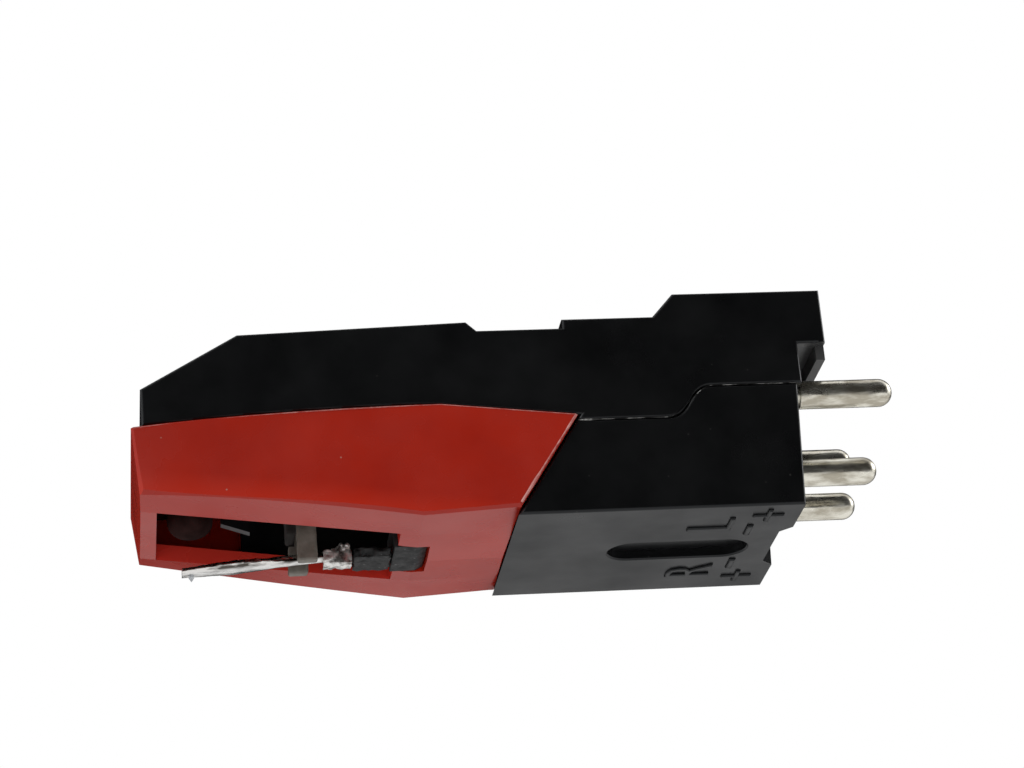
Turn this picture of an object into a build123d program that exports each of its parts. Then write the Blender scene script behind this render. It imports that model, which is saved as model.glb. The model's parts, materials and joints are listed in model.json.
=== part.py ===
from build123d import *
from math import cos, hypot, radians, sin
import os

# A snap-in stylus cartridge: a two-part black case, four output pins, a red stylus holder that swings
# down at the nose when the stylus is changed, and two ceramic strips driven by a forked yoke.
#
# x runs from the nose to the pins, y across and z up, in millimetres. The origin is the middle of the
# seat on top of the case. Sketches are drawn from the case's rear bottom edge: x is 0 there and
# negative towards the nose, and heights start at the flat underside. Names that end in _at are
# distances from that edge towards the nose.

# Case, both halves
body_width = 12.0
body_length = 31.8
wall = 1.2
rear_wall = 1.6
edge_radius = 0.15

# Upper housing, side outline
nose_height = 7.1
brow_length = 4.75
brow_height = 9.8
top_height = 10.15
catch_front_at = 15.85
catch_rear_at = 11.1
catch_depth = 0.48
catch_slope = 0.5
ramp_at = 6.55
ramp_length = 1.1
seat_height = 11.35
overhang = 2.0
overhang_height = 8.5
lip_thickness = 0.44
lip_height = 7.75
lip_inset = 0.5
roof_thickness = 0.8
upper_rear_x = 0.58

# Upper housing, inside the nose
boss_at = 29.5
boss_radius = 1.1
boss_height = 2.25
boss_round = 0.8
web_front_at = 28.0
web_rear_at = 26.6
web_front_height = 2.2
web_rear_height = 1.7
web_thickness = 0.5

# Upper housing, rim and deeper skirts that stand inside the stylus holder
rim_depth = 0.7
rim_clearance = 0.15
rim_front_clearance = 0.3
rim_rear_at = 13.4
skirt_front_at = 26.8
skirt_rear_at = 16.0
skirt_front_height = 2.3
skirt_rear_height = 1.25
skirt_inset = 0.2
skirt_thickness = 0.7

# Seam between the halves
seam_rear_height = 6.36
seam_front_height = 4.76
seam_step_at = 3.95
seam_step_length = 2.4
seam_gap = 0.05

# Lower housing
block_length = 14.05
diagonal_run = 3.4
diagonal_height = 5.0
rear_draft = 0.32
floor_thickness = 1.0
groove_at = 5.36
groove_length = 7.05
groove_width = 2.4
groove_depth = 0.5
groove_rim = 0.08
notch_width = 5.5
notch_length = 0.58
notch_height = 1.2
notch_slope = 0.6

# Stylus holder
holder_proud = 0.2
holder_front = 0.5
holder_wall = 0.75
holder_floor = 0.75
holder_gap = 0.06
holder_bevel = 0.14
front_bevel = 0.12
front_rake = 0.32
diagonal_gap = 0.12
front_edge_height = 5.04
crown_edge_height = 5.74
crown_at = 17.4
rear_edge_height = 5.0

# Stylus holder, underside at its front, at the knee behind the window and at its foot
knee_at = 18.6
fold_spacing = 6.6
front_side_inset = 1.15
front_side_height = 2.15
front_fold_height = 1.88
front_keel_height = 1.84
knee_side_inset = 0.05
knee_side_height = 0.12
knee_fold_height = 0.1
keel_height = -0.06
foot_side_height = 0.37
foot_fold_height = 0.17
foot_keel_height = -0.03

# Stylus holder, window and its tail
window_front_wall = 1.13
window_rear_at = 19.5
window_width = 6.6
tail_rear_at = 17.95
tail_width = 3.6

# Stylus lever and its rubber
plug_at = 19.05
plug_length = 1.25
plug_height = 1.6
plug_bottom = 0.08
plug_clearance = 0.03
sleeve_gap = 0.09
sleeve_length = 1.85
sleeve_width = 2.7
sleeve_height = 0.9
sleeve_bottom = -0.12
sleeve_round = 0.3
collar_gap = 0.08
collar_length = 1.4
collar_width = 1.2
collar_height = 1.15
lever_length = 7.6
lever_diameter = 0.56
lever_root_height = 0.42
lever_end_height = -0.2
tube_length = 2.3
blade_length = 2.5
blade_width = 1.7
blade_thickness = 0.55
blade_end_width = 1.0
blade_end_thickness = 0.4
tip_setback = 0.45
tip_diameter = 0.26
tip_shank = 0.32
tip_cone = 0.2

# Ceramic strips, yoke and pads
strip_spacing = 3.1
strip_height = 7.0
strip_width = 1.7
strip_thickness = 0.6
strip_tilt = 45.0
strip_front_at = 23.9
strip_rear_at = 5.0
strip_clearance = 0.02
yoke_front_at = 24.4
yoke_head_length = 1.7
yoke_head_width = 5.4
yoke_head_bottom = 5.9
yoke_head_top = 8.1
prong_length = 1.0
prong_width = 0.55
prong_slot = 1.36
prong_bottom = -0.2
yoke_web_length = 0.45
yoke_web_width = 1.9
yoke_web_bottom = 1.3
damper_at = 16.5
damper_length = 2.0
damper_width = 2.6
clamp_front_at = 9.0
clamp_length = 3.0
clamp_width = 6.2
clamp_bottom = 5.4

# Output pins and the contact springs that join them to the strips
pin_diameter = 1.4
shank_diameter = 1.0
shoulder_gap = 0.02
pin_clearance = 0.02
pin_inside = 0.3
outer_pin_spacing = 9.4
outer_pin_height = 6.2
outer_pin_reach = 5.35
inner_pin_spacing = 4.94
inner_pin_height = 2.92
inner_pin_reach = 4.65
contact_width = 0.5
contact_thickness = 0.25
contact_standoff = 0.8
contact_run = 1.1
contact_bend = 0.35
contact_inset = 0.2
outer_contact_at = 5.4
inner_contact_at = 5.6

# Planes
seat_x = (overhang + ramp_length - ramp_at) / 2
corner = (-seat_x, 0, -seat_height)
side = Plane(origin=corner, x_dir=(1, 0, 0), z_dir=(0, -1, 0))
plan = Plane(origin=corner)
end = Plane(origin=corner, x_dir=(0, 1, 0), z_dir=(1, 0, 0))

# Places worked out from the sizes above
nose_x = -body_length
holder_front_x = nose_x - holder_front
seam_step_end = seam_step_at + seam_step_length
rear_edge_slope = (crown_edge_height - rear_edge_height) / (crown_at - block_length + diagonal_run)
roof_height = top_height - catch_depth - roof_thickness
brow_slope = (brow_height - nose_height) / brow_length
slope_wall = wall * hypot(1, brow_slope)
front_lean = front_side_inset / (front_edge_height - front_side_height)
front_slope = front_rake / (front_edge_height - front_side_height)
case_rear_inside = upper_rear_x - rear_wall
half_width = body_width / 2
holder_half = half_width + holder_proud
rim_half = holder_half - holder_wall - front_lean * rim_depth - rim_clearance
skirt_half = rim_half - skirt_inset
holder_foot_x = -block_length - diagonal_gap
pin_radius = pin_diameter / 2
pin_root_x = case_rear_inside - pin_inside
pin_seat_length = rear_wall + 2 * wall
sleeve_rear_x = -plug_at - plug_length / 2 - sleeve_gap
sleeve_front_x = sleeve_rear_x - sleeve_length
collar_rear_x = sleeve_front_x - collar_gap
collar_front_x = collar_rear_x - collar_length
lever_root_x = collar_rear_x - collar_length / 2
lever_end_x = lever_root_x - lever_length
prong_rear_x = -yoke_front_at + prong_length


def diagonal_x(height, gap=0.0):
    """The slanting front of the lower housing, moved towards the nose by a gap."""
    return -block_length - gap + diagonal_run * height / diagonal_height


def holder_edge(x):
    """Height of the holder's upper edge between its front and its crown."""
    share = (-x - crown_at) / (-holder_front_x - crown_at)
    return crown_edge_height - (crown_edge_height - front_edge_height) * share**2


def brow_line(x):
    """Height of the slope from the nose up to the brow."""
    return nose_height + brow_slope * (x - nose_x)


def lever_height(x):
    """Height of the stylus lever's centre line."""
    return lever_root_height + (lever_end_height - lever_root_height) * (lever_root_x - x) / lever_length


def seam_line(shift):
    """The joint between the housings from its rear end to the slanting front."""
    rear_z = seam_rear_height + shift
    front_z = seam_front_height + shift
    step_top = (-seam_step_at, rear_z)
    step_foot = (-seam_step_end, front_z)
    Spline(step_top, step_foot, tangents=((-1, 0), (-1, 0)))
    Line(step_foot, (diagonal_x(front_z), front_z))
    return step_top


def pin_seats(spacing, height):
    """Circles for a pair of pin seats, on a plane inside the rear wall."""
    with BuildSketch(end.offset(case_rear_inside - wall)) as seats:
        with Locations((-spacing / 2, height), (spacing / 2, height)):
            Circle(shank_diameter / 2 + pin_clearance)
    return seats.sketch


def on_side(edge):
    """True for the edges that bound the flat sides of the case."""
    return abs(abs(edge.center().Y) - half_width) < edge_radius / 10


# Upper housing: long shell with a stepped top, a catch recess and a rear lip
with BuildPart() as upper_housing:
    with BuildSketch(side):
        with BuildLine():
            seam_top = seam_line(seam_gap / 2)
            lower_corner = (diagonal_x(seam_front_height + seam_gap / 2), seam_front_height + seam_gap / 2)
            upper_corner_z = rear_edge_height + holder_gap
            crown = (-crown_at, crown_edge_height + holder_gap)
            nose_foot = (nose_x, holder_edge(nose_x) + holder_gap)
            bow_x = (nose_x - crown_at) / 2
            Polyline(lower_corner, (diagonal_x(upper_corner_z), upper_corner_z), crown)
            ThreePointArc(crown, (bow_x, holder_edge(bow_x) + holder_gap), nose_foot)
            Polyline(
                nose_foot,
                (nose_x, nose_height),
                (nose_x + brow_length, brow_height),
                (-catch_front_at, top_height),
                (-catch_front_at + catch_slope, top_height - catch_depth),
                (-catch_rear_at, top_height - catch_depth),
                (-catch_rear_at, top_height),
                (-ramp_at, top_height),
                (-ramp_at + ramp_length, seat_height),
                (overhang, seat_height),
                (overhang, lip_height),
                (overhang - lip_thickness, lip_height),
                (overhang - lip_thickness, overhang_height),
                (upper_rear_x, overhang_height),
                (upper_rear_x, seam_top[1]),
                seam_top,
            )
        make_face()
    extrude(amount=half_width, both=True)
    with BuildSketch(side):
        with BuildLine():
            rim_front_x = holder_front_x + holder_wall + rim_front_clearance
            rim_bow_x = (rim_front_x - crown_at) / 2
            rim_rear_z = crown_edge_height - (crown_at - rim_rear_at) * rear_edge_slope
            Line((-rim_rear_at, rim_rear_z - rim_depth), (-crown_at, crown_edge_height - rim_depth))
            ThreePointArc(
                (-crown_at, crown_edge_height - rim_depth),
                (rim_bow_x, holder_edge(rim_bow_x) - rim_depth),
                (rim_front_x, holder_edge(rim_front_x) - rim_depth),
            )
            Polyline(
                (rim_front_x, holder_edge(rim_front_x) - rim_depth),
                (rim_front_x, nose_height),
                (-rim_rear_at, nose_height),
                (-rim_rear_at, rim_rear_z - rim_depth),
            )
        make_face()
    extrude(amount=rim_half, both=True)
    fillet(upper_housing.edges().filter_by(on_side), edge_radius)
    with BuildSketch(side):
        with BuildLine():
            front_inside = nose_x + wall
            Polyline(
                (front_inside, 0),
                (front_inside, brow_line(front_inside) - slope_wall),
                (nose_x + (roof_height + slope_wall - nose_height) / brow_slope, roof_height),
                (case_rear_inside, roof_height),
                (case_rear_inside, 0),
                close=True,
            )
        make_face()
    extrude(amount=half_width - wall, both=True, mode=Mode.SUBTRACT)
    with BuildSketch(side.offset(skirt_half), side.offset(skirt_thickness - skirt_half)):
        with BuildLine():
            skirt_top = crown_edge_height + wall
            Polyline(
                (-skirt_front_at, skirt_front_height),
                (-knee_at, skirt_rear_height),
                (-skirt_rear_at, skirt_rear_height),
                (-skirt_rear_at, skirt_top),
                (-skirt_front_at, skirt_top),
                close=True,
            )
        make_face()
    extrude(amount=-skirt_thickness)
    with BuildSketch(end.offset(-skirt_front_at)):
        root_out = half_width - wall / 2
        root_width = root_out - skirt_half + skirt_thickness
        root_y = root_out - root_width / 2
        with Locations((-root_y, skirt_top - wall / 4), (root_y, skirt_top - wall / 4)):
            Rectangle(root_width, wall / 2)
    extrude(amount=skirt_front_at - skirt_rear_at)
    with BuildSketch(plan.offset(boss_height)):
        with Locations((-boss_at, 0)):
            Circle(boss_radius)
    extrude(until=Until.NEXT)
    fillet(upper_housing.edges().filter_by(GeomType.CIRCLE).sort_by(Axis.Z)[0], boss_round)
    with BuildSketch(side):
        with BuildLine():
            Polyline(
                (-web_front_at, web_front_height),
                (-web_rear_at, web_rear_height),
                (-web_rear_at, roof_height + roof_thickness / 2),
                (-web_front_at, brow_line(-web_front_at) - wall / 2),
                close=True,
            )
        make_face()
    extrude(amount=web_thickness / 2, both=True)
    extrude(pin_seats(outer_pin_spacing, outer_pin_height), amount=pin_seat_length, mode=Mode.SUBTRACT)
    with BuildSketch(plan.offset(lip_height)):
        lip_x = overhang - lip_thickness / 2
        lip_end_y = half_width - lip_inset / 2
        with Locations((lip_x, lip_end_y), (lip_x, -lip_end_y)):
            Rectangle(lip_thickness, lip_inset)
    extrude(amount=overhang_height - lip_height, mode=Mode.SUBTRACT)
upper_housing.part.label = "upper_housing"

# Lower housing: rear block with a drafted back, a slanting front and an open top
with BuildPart() as lower_housing:
    with BuildSketch(side):
        with BuildLine():
            seam_top = seam_line(-seam_gap / 2)
            rear_top = (rear_draft, seam_top[1])
            block_corner_z = seam_front_height - seam_gap / 2
            Polyline(
                (diagonal_x(block_corner_z), block_corner_z),
                (-block_length, 0),
                (0, 0),
                rear_top,
                seam_top,
            )
        make_face()
    extrude(amount=half_width, both=True)
    fillet(lower_housing.edges().filter_by(on_side), edge_radius)
    with BuildSketch(side):
        with BuildLine():
            front_low = (diagonal_x(floor_thickness) + wall, floor_thickness)
            front_high = (diagonal_x(seam_rear_height) + wall, seam_rear_height)
            Polyline(
                front_low,
                (case_rear_inside, floor_thickness),
                (case_rear_inside, seam_rear_height),
                front_high,
                close=True,
            )
        make_face()
    extrude(amount=half_width - wall, both=True, mode=Mode.SUBTRACT)
    with BuildSketch(plan):
        with Locations((-groove_at, 0)):
            SlotOverall(groove_length, groove_width)
    extrude(amount=groove_depth, mode=Mode.SUBTRACT)
    with BuildSketch(plan):
        with Locations((-groove_at, 0)):
            SlotOverall(groove_length + 2 * groove_rim, groove_width + 2 * groove_rim)
    extrude(amount=groove_rim, taper=45, mode=Mode.SUBTRACT)
    with BuildSketch(plan):
        with BuildLine():
            notch_half = notch_width / 2
            Polyline(
                (wall, -notch_half),
                (0, -notch_half),
                (-notch_length, -notch_half + notch_slope),
                (-notch_length, notch_half - notch_slope),
                (0, notch_half),
                (wall, notch_half),
                close=True,
            )
        make_face()
    extrude(amount=notch_height, mode=Mode.SUBTRACT)
    with BuildSketch(plan.offset(floor_thickness)):
        with Locations((-clamp_front_at + clamp_length / 2, 0)):
            Rectangle(clamp_length, clamp_width)
    extrude(amount=clamp_bottom - floor_thickness)
    extrude(pin_seats(outer_pin_spacing, outer_pin_height), amount=pin_seat_length, mode=Mode.SUBTRACT)
    extrude(pin_seats(inner_pin_spacing, inner_pin_height), amount=pin_seat_length, mode=Mode.SUBTRACT)
lower_housing.part.label = "lower_housing"


def side_inset(x):
    """How far the holder's lower edge stands in from its upper edge, most at the front."""
    share = max(0.0, (x + knee_at) / (holder_front_x + knee_at))
    return knee_side_inset + (front_side_inset - knee_side_inset) * share**2


def side_height(x):
    """Height of the holder's lower edge: it falls to the knee and rises a little to the foot."""
    if x < -knee_at:
        share = (x + knee_at) / (holder_front_x + knee_at)
        return knee_side_height + (front_side_height - knee_side_height) * share
    share = (x + knee_at) / (holder_foot_x + knee_at)
    return knee_side_height + (foot_side_height - knee_side_height) * share


def bowed_block(sections):
    """A block through cross-sections at the front, half way, knee and rear, curved up to the knee."""
    with BuildPart() as block:
        loft(sections[:3])
        loft(sections[2:], ruled=True)
    return block.part


def holder_sides(front_x, inset=0.0):
    """The block between the holder's sides, which lean in towards the front."""
    low_z = keel_height - wall
    high_z = crown_edge_height + wall
    sections = []
    for x in (front_x, (front_x - knee_at) / 2, -knee_at, diagonal_x(high_z)):
        edge_z = holder_edge(min(x, -crown_at))
        lean = side_inset(x) / (edge_z - side_height(x))
        low_half = holder_half - inset - lean * (edge_z - low_z)
        high_half = holder_half - inset + lean * (high_z - edge_z)
        with BuildSketch(end.offset(x)) as section:
            with BuildLine():
                low_left, low_right = (-low_half, low_z), (low_half, low_z)
                high_left, high_right = (-high_half, high_z), (high_half, high_z)
                Polyline(low_left, low_right, high_right, high_left, close=True)
            make_face()
        sections.append(section.sketch)
    return bowed_block(sections)


def holder_keel(front_x, rise=0.0):
    """Cross-sections of the space above the holder's underside, which is lowest at the knee."""
    fold_half = fold_spacing / 2
    high_z = crown_edge_height + 2 * wall
    stations = (
        (front_x, front_side_inset, front_side_height, front_fold_height, front_keel_height),
        (-knee_at, knee_side_inset, knee_side_height, knee_fold_height, keel_height),
        (holder_foot_x, knee_side_inset, foot_side_height, foot_fold_height, foot_keel_height),
        (diagonal_x(high_z), knee_side_inset, foot_side_height, foot_fold_height, foot_keel_height),
    )
    sections = []
    for x, side_in, side_z, fold_z, keel_z in stations:
        side_half = holder_half - side_in
        far_z = side_z + (side_z - fold_z) * (body_width - side_half) / (side_half - fold_half)
        with BuildSketch(end.offset(x)) as section:
            with BuildLine():
                Polyline(
                    (-body_width, high_z),
                    (-body_width, far_z + rise),
                    (-fold_half, fold_z + rise),
                    (0, keel_z + rise),
                    (fold_half, fold_z + rise),
                    (body_width, far_z + rise),
                    (body_width, high_z),
                    close=True,
                )
            make_face()
        sections.append(section.sketch)
    return sections


def holder_corners():
    """Plan sections whose slanting corners bevel the holder's front and rear upright edges."""
    wide = body_width * 2 / 3
    sections = []
    for z in (keel_height - wall, crown_edge_height + wall):
        front_half = holder_half - front_lean * (front_edge_height - z) - front_bevel
        rear_half = holder_half - knee_side_inset * (1 - z / rear_edge_height) - holder_bevel
        front_x = holder_front_x + front_slope * (front_edge_height - z)
        rear_x = diagonal_x(z, diagonal_gap)
        front_wide_x = front_x + wide - front_half
        rear_wide_x = rear_x - wide + rear_half
        with BuildSketch(plan.offset(z)) as section:
            with BuildLine():
                Polyline(
                    (front_x, -front_half),
                    (front_wide_x, -wide),
                    (rear_wide_x, -wide),
                    (rear_x, -rear_half),
                    (rear_x, rear_half),
                    (rear_wide_x, wide),
                    (front_wide_x, wide),
                    (front_x, front_half),
                    close=True,
                )
            make_face()
        sections.append(section.sketch)
    return sections


def holder_lower_bevel():
    """The block whose slanting lower corners bevel the edges between the holder's sides and underside."""
    low_z = keel_height - 2 * wall
    wide = body_width * 2 / 3
    sections = []
    head_x = diagonal_x(crown_edge_height + wall)
    for x in (holder_front_x, (holder_front_x - knee_at) / 2, -knee_at, head_x):
        side_z = side_height(x)
        side_half = holder_half - side_inset(x) - holder_bevel
        low_half = side_half - side_z + low_z
        wide_z = side_z + wide - side_half
        with BuildSketch(end.offset(x)) as section:
            with BuildLine():
                Polyline(
                    (-low_half, low_z),
                    (low_half, low_z),
                    (wide, wide_z),
                    (wide, wide_z + body_width),
                    (-wide, wide_z + body_width),
                    (-wide, wide_z),
                    close=True,
                )
            make_face()
        sections.append(section.sketch)
    return bowed_block(sections)


# Inside of the stylus holder, used to hollow it
with BuildPart() as holder_hollow:
    add(holder_sides(holder_front_x + holder_wall, holder_wall))
    loft(holder_keel(holder_front_x + holder_wall, holder_floor), ruled=True, mode=Mode.INTERSECT)
    with BuildSketch(side):
        with BuildLine():
            hollow_low = keel_height - wall
            hollow_high = crown_edge_height + wall
            hollow_gap = diagonal_gap + holder_wall
            Polyline(
                (holder_front_x, hollow_low),
                (diagonal_x(hollow_low, hollow_gap), hollow_low),
                (diagonal_x(hollow_high, hollow_gap), hollow_high),
                (holder_front_x, hollow_high),
                close=True,
            )
        make_face()
    extrude(amount=body_width, both=True, mode=Mode.INTERSECT)

# Stylus holder: open red tray with a bowed upper edge, a slanting end and a window for the lever
with BuildPart() as stylus_holder:
    add(holder_sides(holder_front_x))
    loft(holder_keel(holder_front_x), ruled=True, mode=Mode.INTERSECT)
    with BuildSketch(side):
        with BuildLine():
            crown = (-crown_at, crown_edge_height)
            front_top = (holder_front_x, front_edge_height)
            bow_x = (holder_front_x - crown_at) / 2
            low_z = keel_height - wall
            ThreePointArc(crown, (bow_x, holder_edge(bow_x)), front_top)
            Polyline(
                front_top,
                (holder_front_x + front_slope * (front_edge_height - low_z), low_z),
                (diagonal_x(low_z, diagonal_gap), low_z),
                (diagonal_x(rear_edge_height, diagonal_gap), rear_edge_height),
                crown,
            )
        make_face()
    extrude(amount=body_width, both=True, mode=Mode.INTERSECT)
    loft(holder_corners(), ruled=True, mode=Mode.INTERSECT)
    add(holder_lower_bevel(), mode=Mode.INTERSECT)
    add(holder_hollow.part, mode=Mode.SUBTRACT)
    with BuildSketch(plan.offset(keel_height - wall)):
        window_front_x = holder_front_x + window_front_wall
        window_length = -window_rear_at - window_front_x
        tail_length = window_rear_at - tail_rear_at
        with Locations((window_front_x + window_length / 2, 0)):
            Rectangle(window_length, window_width)
        with Locations((-window_rear_at + tail_length / 2, 0)):
            Rectangle(tail_length, tail_width)
    extrude(amount=front_side_height + holder_floor + wall, mode=Mode.SUBTRACT)
stylus_holder.part.label = "stylus_holder"

# Rubber plug, held in the tail of the holder's window
with BuildPart() as pivot_plug:
    with BuildSketch(plan.offset(plug_bottom)):
        with Locations((-plug_at, 0)):
            Rectangle(plug_length, tail_width - 2 * plug_clearance)
    extrude(amount=plug_height)
pivot_plug.part.label = "pivot_plug"

# Rubber sleeve between the plug and the crimped end of the lever
with BuildPart() as pivot_sleeve:
    with BuildSketch(end.offset(sleeve_front_x)):
        with Locations((0, sleeve_bottom + sleeve_height / 2)):
            RectangleRounded(sleeve_width, sleeve_height, sleeve_round)
    extrude(amount=sleeve_length)
pivot_sleeve.part.label = "pivot_sleeve"

# Stylus lever: drawn tube that flattens to a narrow blade at the stylus
with BuildPart() as cantilever:
    tube_end_x = lever_root_x - tube_length
    with BuildSketch(end.offset(lever_root_x)):
        with Locations((0, lever_root_height)):
            Circle(lever_diameter / 2)
    tube_fall = lever_height(tube_end_x) - lever_root_height
    extrude(amount=hypot(tube_length, tube_fall), dir=(-tube_length, 0, tube_fall))
    stations = (
        (tube_end_x, lever_diameter, lever_diameter),
        (lever_end_x + blade_length, blade_width, blade_thickness),
        (lever_end_x, blade_end_width, blade_end_thickness),
    )
    blade_sections = []
    for station_x, across, tall in stations:
        with BuildSketch(end.offset(station_x)) as blade_section:
            with Locations((0, lever_height(station_x))):
                Ellipse(across / 2, tall / 2)
        blade_sections.append(blade_section.sketch)
    loft(blade_sections, ruled=True)
cantilever.part.label = "cantilever"

# Crimp collar on the root of the lever
with BuildPart() as crimp_collar:
    with BuildSketch(end.offset(collar_front_x)):
        with Locations((0, lever_height(collar_front_x))):
            RectangleRounded(collar_width, collar_height, collar_height / 3)
    extrude(amount=collar_length)
    add(cantilever.part, mode=Mode.SUBTRACT)
crimp_collar.part.label = "crimp_collar"

# Stylus: a short shank with a pointed end, under the blade
with BuildPart() as stylus_tip:
    tip_x = lever_end_x + tip_setback
    tip_top = lever_height(tip_x)
    with BuildSketch(side) as tip_profile:
        with BuildLine():
            Polyline(
                (tip_x, tip_top),
                (tip_x + tip_diameter / 2, tip_top),
                (tip_x + tip_diameter / 2, tip_top - tip_shank),
                (tip_x, tip_top - tip_shank - tip_cone),
                close=True,
            )
        make_face()
    revolve(axis=Axis((corner[0] + tip_x, 0, 0), (0, 0, 1)))
    add(cantilever.part, mode=Mode.SUBTRACT)
stylus_tip.part.label = "stylus_tip"


def strip_plane(sign):
    """Cross-section plane of one ceramic strip, turned to its groove wall."""
    origin = (corner[0] - strip_front_at, sign * strip_spacing / 2, corner[2] + strip_height)
    tilt = radians(strip_tilt)
    return Plane(origin=origin, x_dir=(0, cos(tilt), -sign * sin(tilt)), z_dir=(1, 0, 0))


def ceramic_strip(sign, slack=0.0):
    """One strip, or its seat in the pieces that hold it when slack is given."""
    with BuildPart() as strip:
        with BuildSketch(strip_plane(sign)):
            Rectangle(strip_thickness + 2 * slack, strip_width + 2 * slack)
        extrude(amount=strip_front_at - strip_rear_at)
    return strip


# Ceramic strips, one for each channel, and the seats that they need
left_ceramic_strip = ceramic_strip(-1)
left_ceramic_strip.part.label = "left_ceramic_strip"
right_ceramic_strip = ceramic_strip(1)
right_ceramic_strip.part.label = "right_ceramic_strip"
strip_seats = [ceramic_strip(-1, strip_clearance).part, ceramic_strip(1, strip_clearance).part]

# Coupling yoke: a head on the ends of both strips and a fork astride the lever
with BuildPart() as coupling_yoke:
    with BuildSketch(plan.offset(yoke_head_bottom)):
        with Locations((-yoke_front_at + yoke_head_length / 2, 0)):
            Rectangle(yoke_head_length, yoke_head_width)
    extrude(amount=yoke_head_top - yoke_head_bottom)
    with BuildSketch(plan.offset(prong_bottom)):
        prong_x = prong_rear_x - prong_length / 2
        prong_y = (prong_slot + prong_width) / 2
        with Locations((prong_x, prong_y), (prong_x, -prong_y)):
            Rectangle(prong_length, prong_width)
    extrude(amount=yoke_head_bottom - prong_bottom)
    with BuildSketch(plan.offset(yoke_web_bottom)):
        with Locations((-yoke_front_at - yoke_web_length / 2, 0)):
            Rectangle(yoke_web_length, yoke_web_width)
    extrude(amount=yoke_head_top - yoke_web_bottom)
    add(strip_seats, mode=Mode.SUBTRACT)
coupling_yoke.part.label = "coupling_yoke"

# Rear clamp: rubber block that grips both strips between the halves of the case
with BuildPart() as rear_clamp:
    with BuildSketch(plan.offset(clamp_bottom)):
        with Locations((-clamp_front_at + clamp_length / 2, 0)):
            Rectangle(clamp_length, clamp_width)
    extrude(amount=roof_height - clamp_bottom)
    add(strip_seats, mode=Mode.SUBTRACT)
rear_clamp.part.label = "rear_clamp"


def damper_pad(sign):
    """Rubber pad between one strip and the roof of the case."""
    with BuildPart() as pad:
        with BuildSketch(plan.offset(strip_height)):
            with Locations((-damper_at, sign * strip_spacing / 2)):
                Rectangle(damper_length, damper_width)
        extrude(amount=roof_height - strip_height)
        add(strip_seats, mode=Mode.SUBTRACT)
    return pad


left_damper_pad = damper_pad(-1)
left_damper_pad.part.label = "left_damper_pad"
right_damper_pad = damper_pad(1)
right_damper_pad.part.label = "right_damper_pad"


def output_pin(y, height, shoulder_x, reach):
    """Round-nosed pin along x: a shank through the rear wall, a shoulder against it and the free pin."""
    axis_plane = Plane(origin=(corner[0], y, corner[2] + height), x_dir=(1, 0, 0), z_dir=(0, -1, 0))
    shank_radius = shank_diameter / 2
    nose_start = (reach - pin_radius, pin_radius)
    with BuildPart() as pin:
        with BuildSketch(axis_plane):
            with BuildLine():
                Polyline(
                    (reach, 0),
                    (pin_root_x, 0),
                    (pin_root_x, shank_radius),
                    (shoulder_x, shank_radius),
                    (shoulder_x, pin_radius),
                    nose_start,
                )
                RadiusArc(nose_start, (reach, 0), pin_radius)
            make_face()
        revolve(axis=Axis(axis_plane.origin, axis_plane.x_dir))
    return pin


def contact_spring(points):
    """Flat spring from the inner end of a pin to one face of a strip."""
    with BuildPart() as spring:
        with BuildLine(plan) as route:
            FilletPolyline(*points, radius=contact_bend)
        with BuildSketch(Plane(origin=route.wire() @ 0, x_dir=(0, 1, 0), z_dir=route.wire() % 0)):
            Rectangle(contact_width, contact_thickness)
        sweep(path=route.wire())
    return spring


def outer_contact_route(sign):
    """Forward from the outer pin, then square on to the lower face of the strip."""
    start_y = sign * (outer_pin_spacing / 2 - contact_inset)
    face, clear = strip_face(sign, -1)
    return (
        (pin_root_x, start_y, outer_pin_height),
        (pin_root_x - contact_run, start_y, outer_pin_height),
        (-outer_contact_at, clear[0], clear[1]),
        (-outer_contact_at, face[0], face[1]),
    )


def inner_contact_route(sign):
    """Up from the inner pin between the strips, then square on to the upper face of the strip."""
    pin_y = sign * inner_pin_spacing / 2
    face, clear = strip_face(sign, 1)
    return (
        (pin_root_x, pin_y, inner_pin_height),
        (pin_root_x - contact_run, pin_y, inner_pin_height),
        (pin_root_x - 2 * contact_run, clear[0], (inner_pin_height + clear[1]) / 2),
        (pin_root_x - 3 * contact_run, clear[0], clear[1]),
        (-inner_contact_at, clear[0], clear[1]),
        (-inner_contact_at, face[0], face[1]),
    )


def strip_face(sign, up):
    """A point on a strip's upper or lower face and one standing off from it, as y and height."""
    tilt = radians(strip_tilt)
    normal = (-up * sign * cos(tilt), up * sin(tilt))
    middle = (sign * strip_spacing / 2, strip_height)
    face = [middle[i] + normal[i] * strip_thickness / 2 for i in (0, 1)]
    clear = [face[i] + normal[i] * contact_standoff for i in (0, 1)]
    return face, clear


# Output pins: the outer pair carries the live sides, the inner pair the returns
outer_shoulder_x = upper_rear_x + shoulder_gap
inner_shoulder_x = rear_draft * (inner_pin_height + pin_radius) / seam_rear_height + shoulder_gap
left_plus_pin = output_pin(-outer_pin_spacing / 2, outer_pin_height, outer_shoulder_x, outer_pin_reach)
left_plus_pin.part.label = "left_plus_pin"
left_minus_pin = output_pin(-inner_pin_spacing / 2, inner_pin_height, inner_shoulder_x, inner_pin_reach)
left_minus_pin.part.label = "left_minus_pin"
right_minus_pin = output_pin(inner_pin_spacing / 2, inner_pin_height, inner_shoulder_x, inner_pin_reach)
right_minus_pin.part.label = "right_minus_pin"
right_plus_pin = output_pin(outer_pin_spacing / 2, outer_pin_height, outer_shoulder_x, outer_pin_reach)
right_plus_pin.part.label = "right_plus_pin"

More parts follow.
